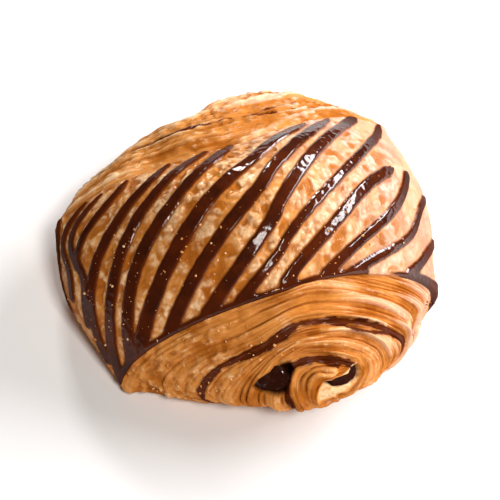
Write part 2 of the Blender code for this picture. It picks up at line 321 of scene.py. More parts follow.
def skin_points(angle, place):
    """The parabola along the roll through the three rings, with the swells added outwards."""
    front, middle, back = ring_points(angle)
    t = place[..., None]
    points = front * (1 - t) * (1 - 2 * t) + middle * 4 * t * (1 - t) + back * t * (2 * t - 1)
    swell = np.zeros_like(place)
    for height, around, along, phase in SWELLS:
        swell += height * np.sin(around * angle + 2 * math.pi * along * place + phase)
    swell *= 4 * place * (1 - place) * (np.sin(angle) > 0) * np.abs(np.sin(angle)) ** 0.5
    points[..., 0] += swell * np.cos(angle)
    points[..., 2] += swell * np.sin(angle)
    return points


def skin_outward(angle, place):
    """Points of the skin and the direction out of it, from the cross product of two small steps."""
    step = 0.01
    around = skin_points(angle + step, place) - skin_points(angle - step, place)
    along = skin_points(angle, place + step) - skin_points(angle, place - step)
    normal = np.cross(along, around)
    return skin_points(angle, place), normal / np.linalg.norm(normal, axis=-1, keepdims=True)


def end_form(at_front):
    """The ring's sizes, the recess and the tip's y of one end of the roll."""
    if at_front:
        return FRONT_RING, FRONT_RECESS, -HALF_LENGTH
    return BACK_RING, BACK_RECESS, HALF_LENGTH


def end_points(angle, reach, at_front):
    """An end: the ring shrunk to the coil's middle by reach, its recess by a power of reach."""
    size, recess, tip = end_form(at_front)
    ring = ring_points(angle)[0 if at_front else 2]
    points = np.empty(np.broadcast(angle, reach).shape + (3,))
    points[..., 0] = size[2] + reach * (ring[..., 0] - size[2])
    points[..., 1] = tip + (ring[..., 1] - tip) * reach ** recess["power"]
    points[..., 2] = COIL_HEIGHT + reach * (ring[..., 2] - COIL_HEIGHT)
    return points


def smooth_line(points, steps):
    """A Catmull-Rom curve through the points, with this many steps between each pair."""
    points = np.array(points, dtype=float)
    padded = np.vstack([2 * points[0] - points[1], points, 2 * points[-1] - points[-2]])
    t = np.linspace(0, 1, steps, endpoint=False)[:, None]
    runs = []
    for a, b, c, d in zip(padded[:-3], padded[1:-2], padded[2:-1], padded[3:]):
        cubic = -a + 3 * b - 3 * c + d
        square = 2 * a - 5 * b + 4 * c - d
        runs.append(b + 0.5 * ((c - a) * t + square * t**2 + cubic * t**3))
    runs.append(points[-1:])
    return np.vstack(runs)


def front_place(x, z):
    """The x and z on the front end on the same line of the roll as these on the back end."""
    return FRONT_RING[2] + (x - BACK_RING[2]) / BACK_STRETCH, z / BACK_LIFT


def inside_distance(x, z, outline):
    """Distance to an outline in the x and z plane, positive inside it, from its nearest edge."""
    corners = np.array(outline)
    nearest = np.full(x.shape, 1e9)
    crossings = np.zeros(x.shape, int)
    for (ax, az), (bx, bz) in zip(corners, np.roll(corners, -1, axis=0)):
        share = ((x - ax) * (bx - ax) + (z - az) * (bz - az)) / ((bx - ax) ** 2 + (bz - az) ** 2)
        share = np.clip(share, 0, 1)
        gap = np.hypot(x - ax - share * (bx - ax), z - az - share * (bz - az))
        nearest = np.minimum(nearest, gap)
        spans = (az > z) != (bz > z)
        cut = ax + (z - az) * (bx - ax) / np.where(bz == az, 1e-9, bz - az)
        crossings += spans & (x < cut)
    return np.where(crossings % 2 == 1, nearest, -nearest)


# Stripes as lines on the skin.


def stripe_line(stripe):
    """Angle, place and width from tip to foot: an even pace bent by a half wave and a whole wave.

    The width grows from the tip, and flares a little where the foot meets the seam.
    """
    tip, tip_place, foot, foot_place, bow, hook, width, narrow = stripe
    s = np.linspace(0, 1, STRIPE_POINTS)
    angle = tip + (foot - tip) * s + bow * np.sin(math.pi * s) + hook * np.sin(2 * math.pi * s)
    place = tip_place + (foot_place - tip_place) * s
    taper = 0.2 + 0.8 * np.minimum(s / narrow, 1) ** 0.6
    flare = 1 + 0.35 * np.exp(-place / 0.035) * (foot_place < 0.1)
    return np.radians(angle), place, width * taper * flare


def border_line(border):
    """Angle, place and width of the dark edge along the front ring."""
    start, end, place, first, last = border
    s = np.linspace(0, 1, STRIPE_POINTS)
    angle = np.radians(start + (end - start) * s)
    return angle, np.full(STRIPE_POINTS, place), first + (last - first) * s


def stripe_gap(points):
    """Distance from each point to the edge of the nearest stripe, below zero inside a stripe.

    Two stripes closer than the web's size join by a smooth minimum, which rounds their fork, and
    slow and quick noise make the edges uneven.
    """
    flat = points.reshape(-1, 3).astype(np.float32)
    gap = np.full(len(flat), 50.0, np.float32)
    lines = [stripe_line(stripe) for stripe in STRIPES]
    lines += [border_line(border) for border in BORDERS]
    for angle, place, width in lines:
        centres = skin_points(angle, place).astype(np.float32)
        halves = (width / 2).astype(np.float32)
        low = centres.min(0) - STRIPE_REACH
        high = centres.max(0) + STRIPE_REACH
        close = np.where(np.all((flat > low) & (flat < high), axis=1))[0]
        for start in range(0, len(close), BATCH):
            chosen = close[start:start + BATCH]
            part = flat[chosen]
            square = (part**2).sum(1)[:, None] + (centres**2).sum(1) - 2 * part @ centres.T
            own = (np.sqrt(np.maximum(square, 0)) - halves).min(1)
            other = gap[chosen]
            share = np.maximum(WEB - np.abs(own - other), 0) / WEB
            gap[chosen] = np.minimum(own, other) - share**2 * WEB / 4
    gap = gap.reshape(points.shape[:-1]).astype(float)
    return gap + 0.16 * cloud(points, 2.6, 55) + 0.08 * cloud(points, 0.9, 56)


def skin_lumps(points):
    """Slow unevenness of the baked skin, in millimetres, which the stripes follow too."""
    return 0.40 * cloud(points, 15.0, 3) + 0.22 * cloud(points, 6.5, 4)


def dents(angle, place, table):
    """Broad hollows, each with its angle, place, depth and spread along both."""
    total = np.zeros(np.broadcast(angle, place).shape)
    for middle, at, depth, turn, run in table:
        off = (np.degrees(angle) - middle + 180) % 360 - 180
        total -= depth * np.exp(-((off / turn) ** 2) - ((place - at) / run) ** 2)
    return total


# Meshes.


def make_closed(name, rings, values, material):
    """Closed surfaces from rings of points, shaped (pieces, rows, columns, 3), in millimetres.

    Quads join each ring to the next and its last column to its first, and a fan joins the first
    and the last ring of each piece to their middles. A piece whose volume is negative is turned.
    """
    pieces, rows, columns = rings.shape[:3]
    each = rows * columns
    ends = np.stack([rings[:, 0].mean(1), rings[:, -1].mean(1)], axis=1)
    points = np.concatenate([rings.reshape(pieces, each, 3), ends], axis=1)
    index = np.arange(each).reshape(rows, columns)
    beside = np.roll(index, -1, axis=1)
    quads = np.stack([index[:-1], beside[:-1], beside[1:], index[1:]], axis=-1).reshape(-1, 4)
    first = np.stack([beside[0], index[0], np.full(columns, each)], axis=-1)
    last = np.stack([index[-1], beside[-1], np.full(columns, each + 1)], axis=-1)
    fans = np.vstack([first, last])
    triangles = np.vstack([quads[:, [0, 1, 2]], quads[:, [0, 2, 3]], fans])
    corner = points[:, triangles]
    volume = np.einsum("pti,pti->p", corner[:, :, 0], np.cross(corner[:, :, 1], corner[:, :, 2]))
    base = (np.arange(pieces) * (each + 2))[:, None, None]
    turned = (volume < 0)[:, None, None]
    quads = np.where(turned, quads[None, :, ::-1], quads[None]) + base
    fans = np.where(turned, fans[None, :, ::-1], fans[None]) + base
    corners = np.concatenate([quads.ravel(), fans.ravel()])
    counts = np.concatenate([np.full(quads.size // 4, 4), np.full(fans.size // 3, 3)])
    starts = np.concatenate([[0], np.cumsum(counts)[:-1]])
    mesh = bpy.data.meshes.new(name)
    mesh.vertices.add(pieces * (each + 2))
    mesh.vertices.foreach_set("co", (points * MM).astype(np.float32).ravel())
    mesh.loops.add(len(corners))
    mesh.loops.foreach_set("vertex_index", corners.astype(np.int32))
    mesh.polygons.add(len(counts))
    mesh.polygons.foreach_set("loop_start", starts.astype(np.int32))
    mesh.update(calc_edges=True)
    for key, value in values.items():
        value = np.broadcast_to(value, rings.shape[:3]).reshape(pieces, rows, columns)
        tips = np.stack([value[:, 0].mean(1), value[:, -1].mean(1)], axis=1)
        full = np.concatenate([value.reshape(pieces, each), tips], axis=1)
        layer = mesh.attributes.new(key, "FLOAT", "POINT")
        layer.data.foreach_set("value", full.astype(np.float32).ravel())
    mesh.shade_smooth()
    mesh.materials.append(material)
    made = bpy.data.objects.new(name, mesh)
    bpy.context.scene.collection.objects.link(made)
    return made


def grid_normals(points):
    """Directions out of a grid that closes on its columns, from its neighbours' differences."""
    down = np.gradient(points, axis=0)
    across = (np.roll(points, -1, axis=1) - np.roll(points, 1, axis=1)) / 2
    normal = np.cross(down, across)
    return normal / np.maximum(np.linalg.norm(normal, axis=-1, keepdims=True), 1e-9)


# Materials.


class Nodes:
    """Adds nodes to a tree. Its methods take sockets or plain values and return sockets."""

    def __init__(self, tree):
        self.tree = tree

    def feed(self, socket, value):
        """Links the value to the socket, or sets the socket to it."""
        if isinstance(value, bpy.types.NodeSocket):
            self.tree.links.new(value, socket)
        elif socket.type == "RGBA":
            socket.default_value = (*value, 1.0)
        else:
            socket.default_value = value

    def add(self, kind, inputs=None, **settings):
        """A node of this kind, with its settings made first and its inputs fed after them."""
        node = self.tree.nodes.new(kind)
        for key, value in settings.items():
            setattr(node, key, value)
        for key, value in (inputs or {}).items():
            self.feed(node.inputs[key], value)
        return node

    def math(self, operation, a, b):
        return self.add("ShaderNodeMath", {0: a, 1: b}, operation=operation).outputs[0]

    def times(self, product, *factors):
        for factor in factors:
            product = self.math("MULTIPLY", product, factor)
        return product

    def span(self, value, low, high, to_low=0.0, to_high=1.0):
        """A value moved smoothly from one range to another and held at its ends."""
        keys = ("Value", "From Min", "From Max", "To Min", "To Max")
        inputs = dict(zip(keys, (value, low, high, to_low, to_high)))
        return self.add("ShaderNodeMapRange", inputs, interpolation_type="SMOOTHSTEP").outputs[0]

    def blend(self, share, a, b):
        """The colour the share of the way from a to b."""
        return self.add("ShaderNodeMix", {0: share, 6: a, 7: b}, data_type="RGBA").outputs[2]

    def blend_numbers(self, share, a, b):
        """The number the share of the way from a to b."""
        return self.add("ShaderNodeMix", {0: share, 2: a, 3: b}).outputs[0]

    def attribute(self, name):
        return self.add("ShaderNodeAttribute", attribute_name=name).outputs["Fac"]

    def noise(self, vector, scale, detail, roughness=0.5):
        inputs = {"Vector": vector, "Scale": scale, "Detail": detail, "Roughness": roughness}
        return self.add("ShaderNodeTexNoise", inputs).outputs["Fac"]

    def bump(self, height, strength, distance):
        inputs = {"Height": height, "Strength": strength, "Distance": distance}
        return self.add("ShaderNodeBump", inputs).outputs["Normal"]

    def mottling(self, vector, scale):
        inputs = {"Vector": vector, "Scale": scale}
        return self.add("ShaderNodeGroup", inputs, node_tree=mottling_group()).outputs


def mottling_group():
    """Mottling shared by the materials: slow stains, small spots and a fine grain."""
    name = "Oven Mottling"
    group = bpy.data.node_groups.get(name)
    if group:
        return group
    group = bpy.data.node_groups.new(name, "ShaderNodeTree")
    group.interface.new_socket("Vector", in_out="INPUT", socket_type="NodeSocketVector")
    group.interface.new_socket("Scale", in_out="INPUT", socket_type="NodeSocketFloat")
    for mark in MOTTLING:
        group.interface.new_socket(mark, in_out="OUTPUT", socket_type="NodeSocketFloat")
    make = Nodes(group)
    entry = make.add("NodeGroupInput").outputs
    leave = make.add("NodeGroupOutput").inputs
    for mark, (factor, detail) in MOTTLING.items():
        scale = make.times(entry["Scale"], factor)
        make.feed(leave[mark], make.noise(entry["Vector"], scale, detail, 0.6))
    return group


def get_material(name, recipe):
    """The material of this name, made at its first use from the values that the recipe gives."""
    material = bpy.data.materials.get(name)
    if material:
        return material
    material = bpy.data.materials.new(name)
    material.use_nodes = True
    make = Nodes(material.node_tree)
    place = make.add("ShaderNodeTexCoord").outputs["Object"]
    values = recipe(make, place, bpy.context.scene.pastry_colours)
    shader = material.node_tree.nodes["Principled BSDF"]
    for socket, value in values.items():
        make.feed(shader.inputs[socket], value)
    return material


def skin_material(make, place, colours):
    """Egg-washed crust with dark cocoa stripes.

    The crust has amber and golden stains, pale blisters and brown pits. On the right (+X), the
    window side, it is painted paler as painted sheen. Beside a stripe it turns red-brown: a
    red-brown edge, and painted shade at the stripe's foot. The stripes have fine dull pits, and
    they are glossiest on the right towards the front.
    """
    blend, span, times = make.blend, make.span, make.times
    marks = make.mottling(place, 130.0)
    stain, spot = marks["Stain"], marks["Spot"]
    x, y, _ = make.add("ShaderNodeSeparateXYZ", {"Vector": place}).outputs
    crust = blend(span(stain, 0.38, 0.60), colours.amber, colours.golden)
    # Painted sheen: towards the right (+X), where the window's light falls, the pale colour turns
    # to the palest and the crust is painted paler.
    pale_and_sheen = blend(span(x, -0.01, 0.04), colours.pale, colours.cream_sheen)
    crust = blend(span(x, -0.01, 0.02, 0.0, 0.3), crust, pale_and_sheen)
    pale = times(make.attribute("puff"), span(spot, 0.36, 0.62, 0.35, 1.0))
    crust = blend(pale, crust, pale_and_sheen)
    crust = blend(times(make.attribute("pit"), 0.85), crust, colours.amber)
    gap = make.attribute("gap")
    # Beside a stripe the crust darkens: a red-brown edge, and painted shade at the stripe's raised
    # foot.
    crust = blend(span(gap, 0.0, 0.55, 0.65, 0.0), crust, colours.shade_and_red_brown)
    dark = blend(span(stain, 0.3, 0.7, 0.0, 0.75), colours.cocoa, colours.chocolate)
    dark = blend(span(gap, -0.5, -0.05, 0.0, 0.35), dark, colours.shade_and_red_brown)
    stripe = span(gap, -0.07, 0.07, 1.0, 0.0)
    gloss = times(
        span(marks["Grain"], 0.37, 0.47, 0.15, 0.75),
        span(y, 0.005, 0.032, 1.0, 0.1),
        span(x, -0.01, 0.015, 0.6, 1.5),
        span(x, 0.028, 0.042, 1.0, 0.15),
    )
    crust_rough = span(spot, 0.35, 0.65, 0.30, 0.5)
    stripe_rough = span(spot, 0.35, 0.65, 0.25, 0.4)
    wrinkle = times(make.noise(place, 1000.0, 4.0, 0.62), make.blend_numbers(stripe, 1.0, 0.5))
    return {
        "Base Color": blend(stripe, crust, dark),
        "Roughness": make.blend_numbers(stripe, crust_rough, stripe_rough),
        "Coat Weight": make.blend_numbers(stripe, 0.2, gloss),
        "Coat Roughness": 0.1,
        "Specular IOR Level": 0.0,
        "Normal": make.bump(wrinkle, 0.55, 0.0005),
    }


def layers_material(make, place, colours):
    """The layers on an end: fine lines along the sheet, pale layers, brown gaps and cocoa.

    The gaps' brown is painted shade, the right side is painted paler as painted sheen, and the
    hollows' near-black chocolate is partly painted shade.
    """
    blend, span, times = make.blend, make.span, make.times
    along = times(make.attribute("along"), 0.36)
    depth = times(make.attribute("layer"), 2.5)
    streak = make.add("ShaderNodeCombineXYZ", {"X": along, "Y": depth}).outputs["Vector"]
    lines = make.noise(streak, 1.0, 5.0, 0.66)
    marks = make.mottling(place, 110.0)
    stain, spot = marks["Stain"], marks["Spot"]
    colour = blend(span(stain, 0.36, 0.62), colours.amber, colours.golden)
    colour = blend(span(lines, 0.5, 0.34, 0.0, 0.45), colour, colours.amber)
    light = make.math("ADD", make.attribute("tone"), times(lines, 0.9))
    colour = blend(span(light, 0.66, 1.5, 0.0, 0.95), colour, colours.honey)
    colour = blend(span(light, 1.3, 1.9), colour, colours.pale)
    x = make.add("ShaderNodeSeparateXYZ", {"Vector": place}).outputs["X"]
    # Painted sheen: the layers on the right (+X), the window side, are painted paler where they are
    # light.
    side = times(span(x, -0.004, 0.03, 0.0, 0.6), span(light, 0.6, 1.3))
    colour = blend(side, colour, colours.cream_sheen)
    flake = times(span(spot, 0.54, 0.66), span(light, 0.5, 1.2, 0.0, 0.6))
    colour = blend(flake, colour, colours.pale)
    # Painted shade: the gaps between layers, and the cracks where it is rough, turn amber to dark
    # red-brown.
    groove = times(make.attribute("groove"), span(spot, 0.3, 0.6, 0.4, 0.9))
    gap = blend(span(stain, 0.4, 0.6, 0.15, 0.8), colours.amber, colours.shade_and_red_brown)
    colour = blend(groove, colour, gap)
    cocoa = make.attribute("cocoa")
    colour = blend(span(cocoa, -0.7, 0.0, 0.0, 0.55), colour, colours.shade_and_red_brown)
    dark = blend(span(spot, 0.4, 0.7, 0.1, 0.5), colours.cocoa, colours.shade_and_red_brown)
    stripe = span(cocoa, -0.12, 0.12)
    colour = blend(stripe, colour, dark)
    # The hollows turn near-black chocolate: melted chocolate, and painted shade in their depth.
    hollow = make.attribute("hollow")
    ridges = make.math("ADD", lines, times(marks["Grain"], 0.5))
    return {
        "Base Color": blend(hollow, colour, colours.chocolate),
        "Roughness": make.blend_numbers(stripe, span(spot, 0.35, 0.65, 0.36, 0.58), 0.26),
        "Coat Weight": make.blend_numbers(hollow, span(stain, 0.35, 0.65, 0.04, 0.3), 0.0),
        "Coat Roughness": 0.2,
        "Specular IOR Level": 0.0,
        "Normal": make.bump(ridges, 0.5, 0.0005),
    }


def stick_material(make, place, colours):
    """Softened dark chocolate: near black, with brown smears and small glossy patches."""
    spot = make.mottling(place, 160.0)["Spot"]
    return {
        "Base Color": make.blend(make.span(spot, 0.55, 0.85), colours.chocolate, colours.cocoa),
        "Roughness": make.span(spot, 0.3, 0.7, 0.25, 0.45),
        "Coat Weight": make.span(spot, 0.52, 0.64, 0.0, 0.7),
        "Coat Roughness": 0.06,
        "Specular IOR Level": 0.02,
        "Normal": make.bump(make.noise(place, 700.0, 2.0), 0.5, 0.0006),
    }


def crumb_material(make, place, colours):
    """Toasted crumbs, from pale to deep golden, each with a tone of its own."""
    marks = make.mottling(place, 300.0)
    tone = make.attribute("tone")
    colour = make.blend(make.span(tone, 0.0, 0.5), colours.golden, colours.honey)
    light = make.times(make.span(tone, 0.35, 0.9), make.span(marks["Stain"], 0.3, 0.6))
    return {
        "Base Color": make.blend(light, colour, colours.pale),
        "Roughness": make.span(marks["Spot"], 0.35, 0.65, 0.35, 0.6),
    }


def floor_material(make, place, colours):
    """A plain pale floor with the faintest mottling."""
    darker = tuple(0.985 * part for part in colours.floor)
    stain = make.mottling(place, 4.0)["Stain"]
    return {"Base Color": make.blend(stain, darker, colours.floor), "Roughness": 0.9}


# Pieces.


def finish_piece(piece, slot, *nodes):
    """Lets the piece ride on the roll and stand for its CAD nodes, which it hides. The slot is not
    used.
    """
    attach(piece, "root")
    if nodes:
        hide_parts(*nodes)


def crust_height(points, angle, gap, sizes):
    """Height of the baked skin over its smooth form, with the masks of its puffs and pits.

    Pillows of two sizes stand between the edges of loose cells, deeper where a slow noise says so
    and flat towards the sides of the roll. A stripe rises from its edge like a quarter circle, and
    the crust beside it is drawn in a little.
    """
    patch = ease(-0.5, 0.4, cloud(points, 8.0, 11))
    crown = ease(24, 52, np.degrees(angle)) * ease(196, 150, np.degrees(angle))
    warped = points + 1.1 * cloud(points, 3.2, 12)[..., None] * (1.0, -0.8, 0.6)
    pillow = pillows(warped, BLISTER_SIZES[0], 21)
    small = pillows(warped, BLISTER_SIZES[1], 31)
    pit = ease(0.12, 0.5, cloud(warped, 3.0, 13)) * crown
    fade = ease(-0.1, 1.2, gap)
    relief = sizes.blister_relief / MM * fade * (0.22 + 0.78 * crown * (0.35 + 0.65 * patch))
    height = relief * (pillow - 0.6 + 0.35 * small - 0.7 * pit + 0.4 * cloud(points, 1.3, 15))
    inside = np.clip(-gap / STRIPE_EDGE, 0, 1)
    height += sizes.stripe_rise / MM * np.sqrt(1 - (1 - inside) ** 2)
    height += 0.07 * cloud(points, 1.0, 14) * inside
    height -= 0.16 * np.exp(-((gap - 0.25) / 0.3) ** 2)
    crest = ease(0.1, 0.8, 0.5 * pillow + 0.5 * small + 0.45 * cloud(points, 4.2, 16))
    puff = crest * ease(0.0, 0.7, gap) * (0.35 + 0.65 * crown) * (1 - pit)
    return height + skin_lumps(points), puff, pit * fade


def skin_angles():
    """Angles round the roll, evenly spaced by length over the crown and wider apart below."""
    fine = np.radians(np.linspace(-8, 352, 2881))
    middle = skin_points(fine, np.full_like(fine, 0.5))
    length = np.append(0, np.cumsum(np.linalg.norm(np.diff(middle, axis=0), axis=1)))
    turn = np.interp(math.radians(191), fine, length)
    crown = np.linspace(0, turn, CROWN_COLUMNS, endpoint=False)
    base = np.linspace(turn, length[-1], BASE_COLUMNS, endpoint=False)
    return np.interp(np.append(crown, base), length, fine)


def side_tuck(angle, place):
    """How far the skin draws in at the sides and in its broad hollows."""
    return dents(angle, place, SKIN_DENTS) - 0.6 * np.cos(angle) ** 2


def build_skin(sizes):
    """The skin as a grid of place and angle, moved outwards by its height.

    The first and last rows dip under the ends, so the sheet shows an edge, and a fan closes each
    side out of sight.
    """
    q = np.linspace(0, 1, SKIN_ROWS)
    place = np.concatenate([[0.0, 0.0, 0.0, 0.004], 0.008 + 0.984 * q, [0.996, 1.0, 1.0, 1.0]])
    rim = 0.4 * np.exp(-np.minimum(q, 1 - q) / 0.04) - 0.1
    lift = np.concatenate([SKIN_EDGE, rim, SKIN_EDGE[::-1]])
    angle, place = np.meshgrid(skin_angles(), place)
    points, normal = skin_outward(angle, place)
    gap = stripe_gap(points)
    height, puff, pit = crust_height(points, angle, gap, sizes)
    clear = off_floor(points[..., 2])
    soft = ease(0.0, 0.02, np.minimum(place, 1 - place))
    move = (height * (0.35 + 0.65 * soft) + side_tuck(angle, place)) * clear
    move += lift[:, None] * (0.25 + 0.75 * clear)
    points = points + normal * move[..., None]
    points[..., 2] = np.maximum(points[..., 2], 0)
    values = {"puff": puff, "gap": gap, "pit": pit}
    material = get_material("egg_washed_skin", skin_material)
    piece = make_closed("skin", points[None], values, material)
    finish_piece(piece, "baked_crust", "pastry")


def sheet_lines(direction, ring_radius):
    """Radii, about the coil's middle, of the sheet's faces that each direction crosses.

    The roll line is a spiral: its radius grows with the turn. Each direction meets it on the first
    turn and on the second, and where it has ended the ring takes its place. The core is the room
    inside the sheet's first edge.
    """
    line = smooth_line(ROLL_LINE, 12) - (FRONT_RING[2], COIL_HEIGHT)
    turn = np.unwrap(np.arctan2(line[:, 1], line[:, 0]))
    radius = np.hypot(line[:, 0], line[:, 1])
    start = turn[0]
    turn = np.append(turn, turn[-1] + math.radians(22))
    radius = np.append(radius, 46.0)
    inner = np.minimum(np.interp(direction, turn, radius), ring_radius * 0.985)
    outer = np.minimum(np.interp(direction + 2 * math.pi, turn, radius), ring_radius * 0.995)
    outer = np.maximum(outer, inner + 0.01)
    around, room = np.array(CORE).T
    core = np.interp(direction, np.radians(around), room)
    return start, core, inner, outer


def end_columns(at_front):
    """Angles round the ring whose directions about the coil's middle start at the sheet's edge."""
    size = end_form(at_front)[0]
    start = sheet_lines(np.array([1.0]), np.array([50.0]))[0]
    fine = np.linspace(-math.pi, 3 * math.pi, 5761)
    ring = end_points(fine, np.ones_like(fine), at_front)
    direction = np.unwrap(np.arctan2(ring[:, 2] - COIL_HEIGHT, ring[:, 0] - size[2]))
    direction -= 2 * math.pi * np.round((direction[1440] - fine[1440]) / (2 * math.pi))
    first = np.interp(start, direction, fine)
    angle = first + np.linspace(0, 2 * math.pi, END_COLUMNS, endpoint=False)
    return angle, np.interp(angle, fine, direction)


def roll_gap(run, line, reach, ring_radius):
    """How far each point of the grid lies beyond the line, measured along its own column."""
    share = line / ring_radius
    at_line = [np.interp(share[k], reach, run[:, k]) for k in range(run.shape[1])]
    return run - np.array(at_line)[None]


def roll_thickness(turn):
    """Thickness of the dark layer by its turn in degrees: fuller in three places."""
    thick = 1.7 + 0.7 * line_cloud(turn / 17, 0.0, 45)
    for middle, spread, more in ((75, 38, 1.0), (185, 16, 0.4), (500, 28, 1.2)):
        thick = thick + more * np.exp(-((turn - middle) / spread) ** 2)
    return thick


def cocoa_lines(run, direction, lines, reach, ring_radius):
    """Room left inside the dark layer, below zero outside it, and the gaps to its middle.

    On the upper right the layer splits in two round a lens of dough.
    """
    cocoa = np.full_like(run, NO_COCOA)
    sunk = np.zeros_like(run)
    for lap, line in enumerate(lines):
        gap = roll_gap(run, line, reach, ring_radius)
        turn = np.degrees(direction) + 360 * lap
        thick = roll_thickness(turn)[None]
        lens = np.maximum(np.sin(np.radians(np.clip((turn - 362) * 180 / 62, 0, 180))), 0)[None]
        middle = gap + thick / 2
        cocoa = np.maximum(cocoa, thick / 2 * (1 - 0.25 * lens) - np.abs(middle - 0.2))
        second = np.where(lens > 0.05, thick * 0.32 - np.abs(middle + 2.3 * lens), NO_COCOA)
        cocoa = np.maximum(cocoa, second)
        notch = 0.45 + 1.1 * np.exp(-((turn - 185) / 20) ** 2)[None]
        sunk += notch * np.exp(-((middle - 0.2) / (0.3 + 0.25 * thick)) ** 2)
    return cocoa, sunk


def layer_height(layer, along, points, relief, rough):
    """Height of the layers, with the tone of each layer and the gaps between.

    Every layer has a slow noise of its own that it passes to the next over a short step, groups of
    layers stand out together, and gaps open and close along the sheet. Where it is rough, crumbs
    and pits cover the layers. The gaps, and the low cracks where it is rough, get a mask of painted
    shade for the colour.
    """
    number = np.floor(layer)
    share = layer - number
    level, above = (line_cloud((number + step) * 7.7, along / 8.0, 41) for step in (0, 1))
    level = level + (above - level) * ease(0.78, 1.0, share)
    group = line_cloud(layer / 2.7, along / 13.0, 42)
    line = np.round(layer) * 5.3
    dash = line_cloud(line, along / 3.6, 43, 1.0)
    lasting = line_cloud(line, along / 19.0, 44, 2.0)
    opened = ease(-0.1, 0.75, lasting + 0.45 * dash)
    groove = np.exp(-((layer - np.round(layer)) / 0.15) ** 2) * opened
    arch = 1 - (2 * share - 1) ** 2
    crumble = cloud(points, 1.7, 46) + 0.6 * cloud(points, 0.8, 47)
    height = relief * (1.2 * level + 2.1 * group + 0.35 * arch - 1.5 * groove)
    height = height * (1 - 0.45 * rough) + rough * 0.55 * crumble
    tone = (0.34 + 0.50 * level + 0.75 * group) * (1 - 0.6 * rough)
    tone += rough * (0.2 + 0.75 * crumble)
    # Painted shade in the low cracks of the rough part.
    crack_shade = rough * ease(0.25, 0.75, -crumble)
    return height, tone, np.maximum(groove * (1 - 0.7 * rough), 0.7 * crack_shade)


def sheet_place(radius, faces):
    """Each point's share of the way through the rolled sheet, and the number of its turn."""
    depth = np.zeros_like(radius)
    lap = np.zeros_like(radius)
    for number, (low, high) in enumerate(zip(faces, faces[1:])):
        inside = (radius >= low) & (radius <= high + 1e-6)
        depth = np.where(inside, (radius - low) / np.maximum(high - low, 0.3), depth)
        lap = np.where(inside, number, lap)
    return depth, lap


def back_crust(points, x, reach, height, tone, groove):
    """The back end's own look: flatter layers, blistered towards the rim, and painted light making
    its left side paler.
    """
    pillow = pillows(points, BACK_BLISTER_SIZE, 71)
    grain = cloud(points, 2.2, 38)
    blister = ease(0.45, 0.7, reach) * ease(-0.6, 0.1, cloud(points, 9.0, 36))
    tone = tone - 0.22 + 0.35 * grain + 0.5 * blister * (pillow - 0.5)
    # Painted light: the back end's left (-X) is painted paler, where the lamps leave it dim.
    tone += 0.85 * ease(5, -30, x) + 0.2 * blister
    height = 0.5 * height + 0.25 * grain + 0.45 * blister * pillow
    return height, tone, groove * (0.5 - 0.35 * blister)


def tuck_rings(angle, at_front):
    """Rings that carry an end's edge on under the skin."""
    drawn = side_tuck(angle, np.full(END_COLUMNS, 0.0 if at_front else 1.0))
    rings = []
    for place, drop in TUCKS:
        here, out = skin_outward(angle, np.full(END_COLUMNS, place if at_front else 1 - place))
        here = here + out * (drop + drawn * off_floor(here[:, 2]))[:, None]
        here[:, 2] = np.maximum(here[:, 2], 0)
        rings.append(here)
    return np.stack(rings)


